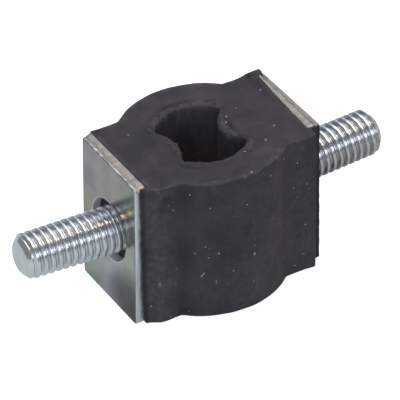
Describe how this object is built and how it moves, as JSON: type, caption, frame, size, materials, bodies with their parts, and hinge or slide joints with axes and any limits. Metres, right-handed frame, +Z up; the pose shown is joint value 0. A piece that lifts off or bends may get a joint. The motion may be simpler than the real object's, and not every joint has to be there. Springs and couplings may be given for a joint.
{
  "type": "rubber anti-vibration mount",
  "caption": "Rubber block bulged on both sides with an upright hole, bonded between two steel plates, with a threaded stud out of each end",
  "frame": {"origin": "Middle of the footprint of the bounding box, on the level of the plates' lower edges", "axes": "+X along the studs to the right-hand stud, +Z up along the hole through the rubber, +Y to the back"},
  "size_m": [0.0506, 0.0208, 0.0205],
  "materials": {
    "rubber": "matt moulded black rubber",
    "plate": "zinc plated, sheared edges",
    "stud": "bright zinc plated"
  },
  "bodies": {
    "root": {"rubber_body": "rubber", "end_plate_left": "plate", "end_plate_right": "plate", "stud_left": "stud", "stud_right": "stud"}
  },
  "joints": []
}
